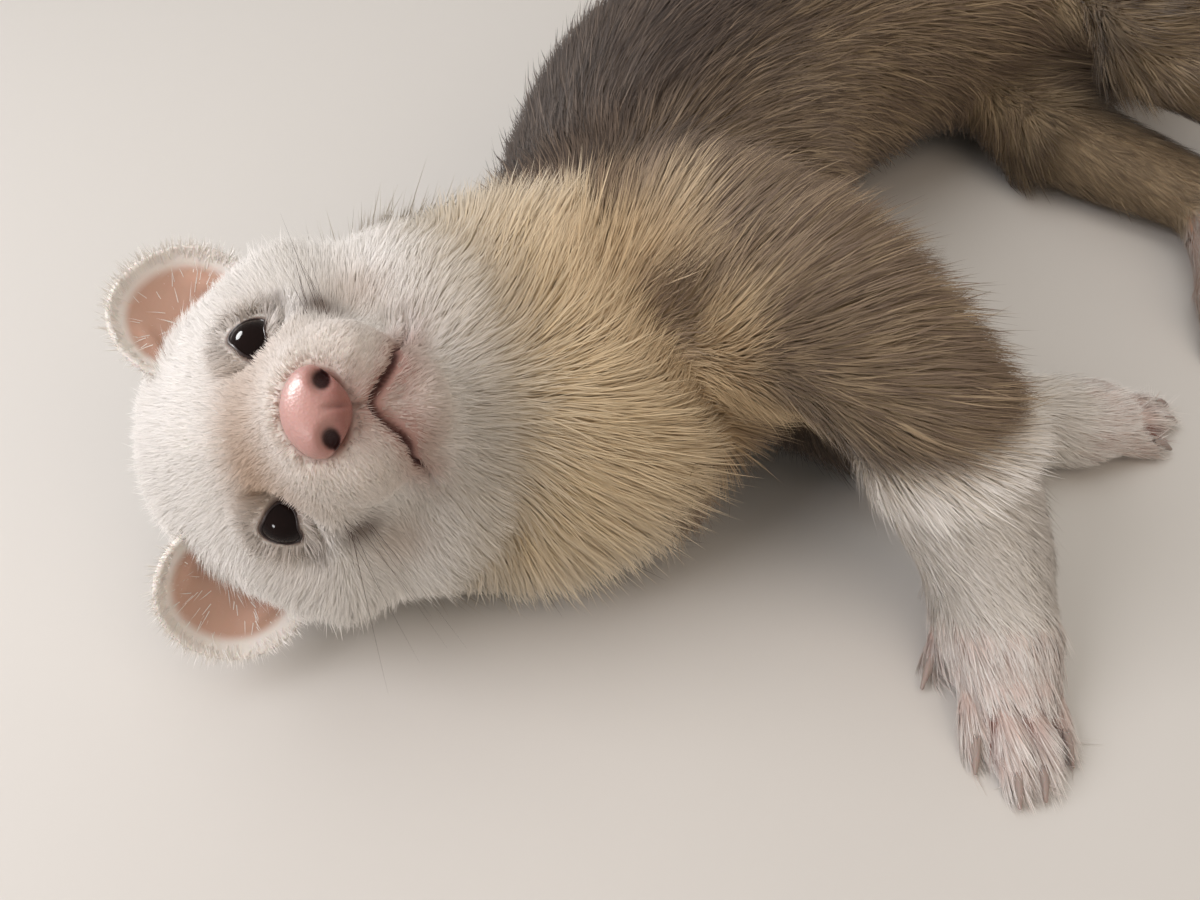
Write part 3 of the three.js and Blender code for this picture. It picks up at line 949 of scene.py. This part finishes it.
# Each part of the coat: kinds of node, rings, width of a hair's root in mm, clumping of the tips, slot
coatParts = {
    "head": (["head"], fewRings, 0.17, 0.12, "white_coat"),
    "neck": (["neck"], moreRings, 0.22, 0.13, "cream_coat"),
    "chest": (["chest"], moreRings, 0.24, 0.34, "silver_coat"),
    "shoulder": (["upper_arm"], moreRings, 0.22, 0.36, "silver_coat"),
    "forearm": (["forearm"], fewRings, 0.18, 0.24, "white_coat"),
    "forepaw": (["forepaw"], moreRings, 0.19, 0.5, "white_coat"),
    "belly": (["belly"], moreRings, 0.31, 0.34, "silver_coat"),
    "rump": (["rump"], moreRings, 0.31, 0.34, "silver_coat"),
    "thigh": (["thigh"], moreRings, 0.27, 0.32, "silver_coat"),
    "hindleg": (["shank", "hindpaw"], fewRings, 0.22, 0.24, "white_coat"),
    "tail": (["tail"], moreRings, 0.27, 0.3, "dark_coat"),
}


def areaOf(faces):
    a, b, c = (skinPoints[skinTriangles[faces, i]] for i in range(3))
    return np.linalg.norm(np.cross(b - a, c - a), axis=1) / 2


def rootsOn(faces, count, weight):
    area = areaOf(faces)
    chance = area * weight[skinTriangles[faces]].mean(1)
    pick = np.searchsorted(np.cumsum(chance) / chance.sum(), dice.random(count))
    pick = faces[np.minimum(pick, len(area) - 1)]
    u, v = dice.random((2, count))
    flip = u + v > 1
    u, v = np.where(flip, 1 - u, u), np.where(flip, 1 - v, v)
    return pick, np.stack([1 - u - v, u, v], axis=1)


def readAt(values, pick, share):
    corner = values[skinTriangles[pick]]
    return (corner * (share[:, :, None] if values.ndim > 1 else share)).sum(1)


# Thin tapered ribbons. Their shading normals stand square to each hair and away from the skin.
def strandMesh(name, path, widths, across, outward, colours, uvs):
    count, rings = path.shape[:2]
    sideways = across[:, None, :] * widths[:, :, None] / 2
    each = 2 * (rings - 1) + 1
    points = np.empty((count, each, 3))
    points[:, 0:-1:2] = path[:, :-1] - sideways[:, :-1]
    points[:, 1:-1:2] = path[:, :-1] + sideways[:, :-1]
    points[:, -1] = path[:, -1]
    faces = []
    for k in range(rings - 2):
        a, b, c, d = 2 * k, 2 * k + 1, 2 * k + 3, 2 * k + 2
        faces += [(a, b, c), (a, c, d)]
    faces.append((each - 3, each - 2, each - 1))
    faces = (np.arange(count)[:, None, None] * each + np.array(faces)[None]).reshape(-1, 3)
    mesh = meshFromArrays(name, points.reshape(-1, 3), faces)
    ringOf = np.append(np.repeat(np.arange(rings - 1), 2), rings - 1)
    paint(mesh, colours[:, ringOf].reshape(-1, 3))
    sideOf = np.append(np.tile([0.0, 1.0], rings - 1), 0.5)
    onPatch = np.stack([sideOf, ringOf / (rings - 1)], axis=1)[None] - 0.5
    patch = uvs[:, None, :] + onPatch * coatMaking["patch"]
    layer = mesh.uv_layers.new(name="OFBake")
    layer.data.foreach_set("uv", patch.reshape(-1, 2)[faces.ravel()].astype(np.float32).ravel())
    along = unit(np.gradient(path, axis=1))
    square = unit(outward[:, None] - along * (outward[:, None] * along).sum(2, keepdims=True))
    mesh.normals_split_custom_set_from_vertices(square[:, ringOf].reshape(-1, 3).astype(np.float32))
    return mesh


def growHair(faces, count, weight, kind, clump):
    pick, share = rootsOn(faces, count, weight)
    root = readAt(skinPoints, pick, share)
    normal = unit(readAt(skinNormals, pick, share))
    way = readAt(lie, pick, share) + dice.normal(0, coatMaking["spread"], (count, 3))
    way = unit(way - normal * (way * normal).sum(1, keepdims=True))
    depth = readAt(coat[:, 0], pick, share) * kind["height"]
    length = readAt(coat[:, 1], pick, share) * kind["length"] * dice.uniform(0.7, 1.12, count)
    aim = root + way * (length * 0.93)[:, None]
    near = nearest(skinTree, aim)
    landed = skinNormals[near]
    height = depth * dice.uniform(0.55, 1.05, count) + 0.15
    off = ((aim - skinPoints[near]) * landed).sum(1)
    past = ramp((way * landed).sum(1), 0.05, 0.5) * np.clip(off, 0, coatMaking["overhang"])
    settled = aim - landed * (off - past)[:, None]
    tip = settled + landed * height[:, None]
    leaders = dice.choice(count, max(count // kind["every"], 1), replace=False)
    mine = leaders[nearest(treeOf(root[leaders]), root)]
    goal = tip[mine] + (root - root[mine]) * 0.35
    lean = clump * dice.uniform(0.4, 1.4, count)[:, None]
    return {
        "pick": pick, "share": share, "root": root, "normal": normal, "length": length,
        "across": unit(np.cross(way, normal)),
        "streak": dice.random(count)[mine],
        "tip": blended(tip, goal, lean),
        "middle": root + way * (length * 0.42)[:, None] + normal * (height * 0.72)[:, None],
    }


def earSurfaces():
    trees = []
    for side in (1, -1):
        mesh = ears[side].data
        corners = [v.co / mm for v in mesh.vertices]
        trees.append((BVHTree.FromPolygons(corners, [p.vertices for p in mesh.polygons]),
                      fromHead(mirrored(head["ear"], side))))
    return trees


# A hair that would go through an ear ends on it, and one that starts right under it is left out
def trimAtEars(hair):
    keep = np.ones(len(hair["root"]), bool)
    for tree, centre in earSurfaces():
        close = np.flatnonzero(np.linalg.norm(hair["root"] - centre, axis=1) < 20)
        for i in close:
            root, tip = hair["root"][i], hair["tip"][i]
            away = tip - root
            far = np.linalg.norm(away)
            hit = tree.ray_cast(Vector(root), Vector(away / far), far)
            if hit[0] is None:
                continue
            if hit[3] < 0.45 * far:
                keep[i] = False
            else:
                hair["tip"][i] = root + away * (hit[3] - 0.2) / far
    return keep


def bentPath(root, middle, tip, rings):
    t = np.array(rings)[None, :, None]
    return (1 - t) ** 2 * root[:, None] + 2 * t * (1 - t) * middle[:, None] + t * t * tip[:, None]


def dressed(name, hair, rings, chosen):
    keys = ("root", "middle", "tip", "normal", "across")
    root, middle, tip, normal, across = (hair[k][chosen] for k in keys)
    path = bentPath(root - normal * 0.25, middle, tip, rings)
    high = path[:, :, 2] - (cadBox[1][2] / mm + coatMaking["overSolids"])
    flatter = path[:, :, 2] - coatMaking["flatter"] * np.maximum(high, 0)
    path[:, :, 2] = np.maximum(flatter, coatMaking["lowest"])
    taper = np.interp(rings, [0, 0.5, 1], [1, 0.8, 0.0])
    twist = dice.normal(0, 0.35, len(root))[:, None].clip(-1, 1)
    across = unit(across * np.cos(twist) + normal * np.sin(twist))
    uv = (triangleUv[hair["pick"][chosen]] * hair["share"][chosen][:, :, None]).sum(1)
    blend = np.interp(rings, moreRings, [0, 0.12, 0.85, 1])[None, :, None]
    colours = blended(hair["rootShade"][chosen][:, None], hair["tipShade"][chosen][:, None], blend)
    widths = hair["width"][chosen][:, None] * taper[None]
    return strandMesh(name, path, widths, across, normal, colours, uv)


# Fur: fine keratin hairs, half matt, that catch light along their length
fur = paintedMaterial("fur", {"Roughness": 0.6, "Specular IOR Level": 0.2, "Sheen Weight": 0.15,
                              "Sheen Roughness": 0.5})

underside = 1 - 0.85 * ramp(-skinNormals[:, 2], 0.65, 0.9) * (skinPoints[:, 2] < 12)
toeGaps = ofKind("forepaw", "hindpaw", rounds=3) * ramp(hollow, 0.12, 0.45)
densities = coat[:, 2] * (1 - bareShare) * underside * (1 - 0.75 * toeGaps)
densities = densities * (1 - 0.45 * (kinds == "head") * ramp(-headWise[:, 0], 2, 12))


def growPart(part, nodes, rings, width, clump, slot):
    faces = np.flatnonzero(np.isin(kinds[skinTriangles[:, 0]], nodes))
    whole = (areaOf(faces) * densities[skinTriangles[faces]].mean(1)).sum()
    for word, kind in hairKinds.items():
        steps = fewRings if word == "down" else rings
        hair = growHair(faces, int(whole * kind["share"]), densities, kind, clump)
        keep = trimAtEars(hair) if part in ("head", "neck") else np.ones(len(hair["root"]), bool)
        pick, share = hair["pick"], hair["share"]
        finer = np.clip(hair["length"] / 9, 0.7, 1.1) * dice.uniform(0.75, 1.25, len(pick))
        hair["width"] = width * kind["width"] * finer
        glow = np.clip(dice.normal(1, 0.06, len(pick)), 0.82, 1.15)[:, None]
        rootShade = readAt(underColour, pick, share) * 0.92
        tipShare = (kind["tip"] * (1 - coatMaking["streak"] * ramp(hair["streak"], 0.45, 0.9)))[:, None]
        hair["rootShade"] = rootShade * glow
        hair["tipShade"] = blended(rootShade, readAt(tipColour, pick, share), tipShare) * glow
        chosen = np.flatnonzero(keep)
        pieces = math.ceil(len(chosen) * (2 * len(steps) - 3) / coatMaking["perPiece"])
        for i, some in enumerate(np.array_split(chosen, pieces)):
            name = f"{part}_{word}_hair" + (f"_{i + 1}" if pieces > 1 else "")
            mesh = dressed(name, hair, steps, some)
            addPiece(name, mesh, fur)
            print(name, len(mesh.polygons))


for part, making in coatParts.items():
    growPart(part, *making)


# The ears' own hair: white at the rim and behind, a few hairs inside
def makeEarHair(side, word):
    count = earMaking["hairs"]
    angle = dice.uniform(0, 2 * math.pi, count)
    r = np.sqrt(dice.uniform(0.02, 1.0, count))
    onRim = dice.random(count) < 0.3
    r = np.where(onRim, dice.uniform(0.87, 0.99, count), r)
    disc = np.stack([r * np.cos(angle), r * np.sin(angle)], axis=1)
    facing = earAxes(side)[0][2] @ headAxes
    front = onRim & (dice.random(count) < 0.7) | (dice.random(count) < 0.03)
    root = earSurface(disc, side) - facing * (np.where(front, 0, earMaking["wall"] + 0.1))[:, None]
    outwards = unit(earSurface(disc * 1.01, side) - earSurface(disc * 0.99, side))
    behind = np.where(front[:, None], facing, -facing) + 3 * outwards * ramp(r, 0.6, 0.85)[:, None]
    normal = unit(np.where(onRim[:, None], facing + 0.3 * outwards, behind))
    length = np.where(onRim, dice.uniform(1.0, 2.3, count), dice.uniform(2, 3.4, count))
    way = unit(outwards + dice.normal(0, 0.25, (count, 3)))
    lift = np.where(onRim, 0.12, 0.14) * length
    middle = root + way * (length * 0.5)[:, None] + normal * lift[:, None]
    tip = root + way * length[:, None] + normal * (lift * 0.9)[:, None]
    path = bentPath(root, middle, tip, fewRings)
    path[:, :, 2] = np.maximum(path[:, :, 2], coatMaking["lowest"])
    glow = np.clip(dice.normal(1, 0.04, count), 0.9, 1.04)[:, None, None]
    colours = np.tile(shade["white"], (count, 3, 1)) * glow
    widths = dice.uniform(0.1, 0.17, count)[:, None] * np.array([1, 0.8, 0])[None]
    across = unit(np.cross(way, normal))
    mesh = strandMesh(f"ear_{word}_hair", path, widths, across, normal, colours, 0.5 + 0.45 * disc)
    addPiece(f"ear_{word}_hair", mesh, fur)


for side, word in bothSides:
    makeEarHair(side, word)

# Wet, near-black eye under a clear cornea
wetEye = newMaterial("wet_eye", {"Base Color": coloured("#1b1210"), "Roughness": 0.07,
                                 "Specular IOR Level": 0.16})[0]


def makeEye(side, name):
    bm = bmesh.new()
    bmesh.ops.create_uvsphere(bm, u_segments=48, v_segments=32, radius=head["eyeRadius"])
    for vert in bm.verts:
        front = max(vert.co.z / head["eyeRadius"], 0)
        vert.co.z += 0.35 * front ** 6  # the cornea bulges
    way = Vector(mirrored(head["eyeWay"], side) @ headAxes)
    turn = way.to_track_quat("Z", "Y").to_matrix().to_4x4()
    place = Matrix.Translation(Vector(fromHead(mirrored(head["eye"], side)) * mm))
    bmesh.ops.transform(bm, matrix=place @ turn @ Matrix.Scale(mm, 4), verts=bm.verts)
    addPiece(name + "_ball", meshFrom(bm, name), wetEye, [name])


# Lids: a closed rim of dark, moist skin on the ball, going over into the haired skin
lidMaking = {
    "steps": 72,
    # across the rim: share of the opening, and height over the ball in mm
    "profile": [(0.94, -0.25), (0.97, 0.12), (1.02, 0.28), (1.07, 0.34), (1.13, 0.32), (1.2, 0.24),
                (1.28, 0.1), (1.36, -0.15), (1.4, -0.9), (1.2, -0.9), (0.95, -0.7)],
    "dark": "#2a1a17",
    "pale": "#6e5c54",
}


# Dark moist skin with creases about 0.6 mm apart
lidSkin = paintedMaterial("lid_skin", {"Roughness": 0.42, "Coat Weight": 0.2, "Coat Roughness": 0.3},
                          "Noise", (0.3, 0.0002), Scale=1800, Detail=3)


def makeLids(side, word):
    profile = lidMaking["profile"] + lidMaking["profile"][:1]
    bm = bmesh.new()
    bmesh.ops.create_grid(bm, x_segments=lidMaking["steps"], y_segments=len(profile) - 1, size=1)
    flat = np.array([v.co[:2] for v in bm.verts])
    angle = (flat[:, 0] + 1) * math.pi
    row = (flat[:, 1] + 1) / 2 * (len(profile) - 1)
    share = np.interp(row, range(len(profile)), [p[0] for p in profile])
    lift = np.interp(row, range(len(profile)), [p[1] for p in profile])
    reach = lidRadius(angle) * share
    way, inner, up = eyeAxes(side)
    spots = (mirrored(head["eye"], side) + (ballHeight(reach, 0.5) + lift)[:, None] * way
             + (reach * np.cos(angle))[:, None] * inner + (reach * np.sin(angle))[:, None] * up)
    for vert, place in zip(bm.verts, fromHead(spots)):
        vert.co = Vector(place * mm)
    tone = bm.verts.layers.float.new("tone")
    for vert, value in zip(bm.verts, ramp(share, 1.05, 1.2)):
        vert[tone] = value
    bmesh.ops.remove_doubles(bm, verts=bm.verts, dist=0.0005 * mm)
    bmesh.ops.recalc_face_normals(bm, faces=bm.faces)
    pale = np.array([v[tone] for v in bm.verts])[:, None]
    mesh = meshFrom(bm, f"lids_{word}")
    paint(mesh, blended(linear(lidMaking["dark"]), linear(lidMaking["pale"]), pale))
    addPiece(f"lids_{word}", mesh, lidSkin)


for side, word in bothSides:
    makeEye(side, f"eye_{word}")
    makeLids(side, word)

noseMaking = {
    "pad": "#cb9d94",
    # low darkens the pad's underside and round the nostrils as painted shade; hole darkens the nostrils and
    # slits as painted shade
    "low": "#92594f",
    "hole": "#331715",
    "nostril": (3.7, -1.3),  # mm beside and above the pad's middle
    "holeSize": (1.5, 1.25),  # mm across and up
    "haloSize": (2.6, 2.3),
    "deep": {"hole": 2.3, "slit": 1.3, "crease": 0.25, "groove": 0.6},  # mm
    "wing": 0.4,  # mm that the pad bulges over a nostril
}

# Moist bare skin, pebbled about every 0.4 mm
noseSkin = paintedMaterial(
    "moist_nose_skin", {"Roughness": 0.45, "Subsurface Weight": 0.15, "Subsurface Scale": 0.0015,
                        "Coat Weight": 0.15, "Coat Roughness": 0.3}, "Voronoi", (0.3, 0.0002), Scale=2400)


# The nose pad, with painted shade: darker underside, a dark ring round each nostril, near-black nostrils and
# slits, and a dark notch in the groove
def makeNose():
    pad, low, holeShade = (linear(noseMaking[k]) for k in ("pad", "low", "hole"))
    deep, (beside, above) = noseMaking["deep"], noseMaking["nostril"]
    (holeWide, holeHigh), (haloWide, haloHigh) = noseMaking["holeSize"], noseMaking["haloSize"]
    bm = bmesh.new()
    bmesh.ops.create_icosphere(bm, subdivisions=6, radius=1)
    mesh = meshFrom(bm, "nose_pad")
    spot = readArray(mesh.vertices, "co", 3).astype(float) * head["noseHalf"]
    spot[:, 1] *= 1 - 0.25 * ramp(-spot[:, 2], 0.2, 4.2) - 0.05 * ramp(spot[:, 2], 1, 4)
    x, y, z = spot.T
    front = ramp(x, 0.3, 2.2)
    # Painted shade: the pad darkens towards its underside
    colours = blended(np.tile(pad, (len(spot), 1)), low, ramp(-z, 0.6, 3.4)[:, None] * 0.8)
    sink, dark = np.zeros((2, len(spot)))
    for side in (1, -1):
        across, up = (y - beside * side) * side, z - above
        hole = np.exp(-((across / holeWide) ** 2 + (up / holeHigh) ** 2) ** 1.3)
        # Painted shade: a darker ring round each nostril
        nostrilShade = np.exp(-((across / haloWide) ** 2 + (up / haloHigh) ** 2))[:, None] * 0.55
        colours = blended(colours, low, nostrilShade)
        slit = bump(up + 0.5 * across, 0, 0.9) * ramp(across, 0.1, 0.6) * (1 - ramp(across, 1.8, 2.6))
        crease = bump(up - 1.15 + 0.3 * across, 0, 0.3) * bump(across, 0.5, 1.0)
        sink = np.maximum(sink, np.maximum(hole * deep["hole"], slit * deep["slit"]) * front)
        sink = np.maximum(sink, crease * deep["crease"] * front)
        # Painted shade: the nostrils and their slits go near-black
        dark = np.maximum(dark, np.maximum(hole, slit * 0.95) * ramp(x, -0.8, 0.5))
        wing = np.exp(-(((across + 0.2) / 1.8) ** 2 + ((up - 0.9) / 1.5) ** 2))
        spot[:, 0] += noseMaking["wing"] * wing * front
    spot[:, 0] -= sink + deep["groove"] * (bump(y, 0, 0.42) * ramp(-z, 0.2, 2.2) * front)
    # Painted shade: a dark notch in the groove under the pad
    dark = np.maximum(dark, 0.4 * bump(y, 0, 0.5) * bump(z, -3.0, 1.3) * front)
    putPoints(mesh, fromHead(spot + head["nose"]))
    paint(mesh, blended(colours, holeShade, ramp(dark, 0.25, 0.75)[:, None]))
    addPiece("nose_pad", mesh, noseSkin, ["nose"])


makeNose()

# Horn: pale, slightly clear and smooth
clawMaterial = newMaterial("claw_horn", {"Base Color": coloured("#a3938a"), "Roughness": 0.4,
                                         "Subsurface Weight": 0.2, "Subsurface Scale": 0.001})[0]


def makeClaws():
    for name in [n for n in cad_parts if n.startswith("claw")]:
        piece = addPiece(name + "_horn", meshFrom(mergedCopy(name), name), clawMaterial, [name])
        rounding = piece.modifiers.new("round", "SUBSURF")
        rounding.levels = rounding.render_levels = 1


makeClaws()

whiskerMaking = {
    "count": 12,
    "length": (7, 25),  # mm
    "thick": 0.12,
    "colour": "#54443b",
    "rings": 7,
    "sides": 4,
    "rowStart": (-1.5, -1.6),  # mm from the bed's middle, towards the nose and up
    "rowStep": (1.3, 1.6),
    "bend": np.array([-0.75, 0, 0]) @ headAxes + [0, 0, -0.25],  # back along the head, and down
}
# Stiff, smooth dark hairs
whiskerHair = newMaterial("whisker_hair", {"Base Color": coloured(whiskerMaking["colour"]),
                                           "Roughness": 0.4})[0]


# Each whisker is a thin closed tube that bends back
def makeWhiskers(side, word, chinward):
    count, rings, sides, back = (whiskerMaking[k] for k in ("count", "rings", "sides", "bend"))
    (ahead, high), (stepAhead, stepHigh) = whiskerMaking["rowStart"], whiskerMaking["rowStep"]
    bed = np.array([whiskerBed + [ahead + stepAhead * (i % 4), 0, high + stepHigh * (i // 4)]
                    for i in range(count)])
    bed = fromHead(mirrored(bed, side) + dice.normal(0, 0.35, (count, 3)))
    near = nearest(skinTree, bed)
    root = skinPoints[near] - skinNormals[near] * 0.4
    length = dice.uniform(*whiskerMaking["length"], count) * np.where(dice.random(count) < 0.4, 1.0, 0.55)
    way = np.stack([dice.uniform(0.0, 0.35, count), side * np.ones(count),
                    dice.uniform(*chinward, count)], axis=1)
    way = unit(way) @ headAxes
    t = np.linspace(0, 1, rings)[None, :, None]
    path = root[:, None] + (way[:, None] * t + back * t ** 2 * 0.4) * length[:, None, None]
    path[:, :, 2] = np.maximum(path[:, :, 2], 0.3)
    along = unit(np.gradient(path, axis=1))
    across = unit(np.cross(along, [0.3, 0.2, 0.93]))
    turn = np.linspace(0, 2 * math.pi, sides, endpoint=False)
    radius = whiskerMaking["thick"] / 2 * (1 - 0.92 * t) * (0.5 + 0.5 * length / length.max())[:, None, None]
    around = [path + radius * (across * math.cos(a) + np.cross(along, across) * math.sin(a)) for a in turn]
    points = np.stack(around, axis=2).reshape(-1, 3)
    quads = [(k * sides + i, k * sides + (i + 1) % sides,
              (k + 1) * sides + (i + 1) % sides, (k + 1) * sides + i)
             for k in range(rings - 1) for i in range(sides)]
    quads += [tuple(range(sides - 1, -1, -1)), tuple(range((rings - 1) * sides, rings * sides))]
    quads = (np.arange(count)[:, None, None] * rings * sides + np.array(quads)[None]).reshape(-1, 4)
    addPiece(f"whiskers_{word}", meshFromArrays(f"whiskers_{word}", points, quads), whiskerHair)
makeWhiskers(1, "left", (0.05, 0.35))
makeWhiskers(-1, "right", (-0.65, 0.05))

# A plain matt floor, which doesn't show in the eyes
bm = bmesh.new()
bmesh.ops.create_grid(bm, x_segments=1, y_segments=1, size=4)
floorMesh = meshFrom(bm, "floor", smooth=False)
paleFloor = newMaterial("pale_floor", {"Base Color": coloured("#d9d5ce"), "Roughness": 0.9})[0]
floorMesh.materials.append(paleFloor)
floor = addObject("floor", floorMesh)
floor.visible_glossy = False

view = {"at": (0, 0, 168.7), "down": 48, "lens": 35}  # mm in the solids' layout, degrees, mm
cameraData = bpy.data.cameras.new("camera")
cameraData.lens = view["lens"]
cameraData.sensor_width = 36
cameraData.clip_start = 0.005
camera = addObject("camera", cameraData)
camera.location = Vector((np.array(view["at"]) + laidOut) * mm)
camera.rotation_euler = (math.radians(90 - view["down"]), 0, 0)
bpy.context.scene.camera = camera
bpy.context.scene.view_settings.view_transform = "Standard"

# Soft light from the left, and two small lamps that only show as highlights in the eyes.
# Each has its place in m, its size in m, its power in W and its colour.
lamps = {
    "window": ((-0.52, -0.22, 0.40), 0.5, 2.3, "#fdfaff"),
    "room": ((0.35, -0.6, 0.8), 1.0, 2.2, "#ffe8d3"),
    "back": ((0.1, 0.8, 0.6), 0.8, 0.8, "#ffffff"),
    "above": ((-0.2, 0.1, 1.0), 0.9, 2.4, "#ffffff"),
    "glintLeft": ((-0.54, 0.06, 0.29), 0.22, 4.6, "#ffffff"),
    "glintRight": ((-0.43, -0.5, 0.1), 0.09, 0.65, "#ffffff"),
}
for name, (place, size, watts, colour) in lamps.items():
    data = bpy.data.lights.new(name, "AREA")
    data.shape = "DISK"
    data.size = size
    data.energy = watts
    data.color = linear(colour)
    light = addObject(name, data)
    light.location = place
    light.rotation_euler = (Vector((-0.08, -0.05, 0.03)) - light.location).to_track_quat("-Z", "Y").to_euler()
    light.visible_glossy = name.startswith("glint")
    light.visible_diffuse = not light.visible_glossy

world = bpy.data.worlds.new("studio")
world.use_nodes = True
background = world.node_tree.nodes["Background"]
background.inputs["Color"].default_value = (0.86, 0.83, 0.8, 1)
background.inputs["Strength"].default_value = 0.36
bpy.context.scene.world = world

print("done")
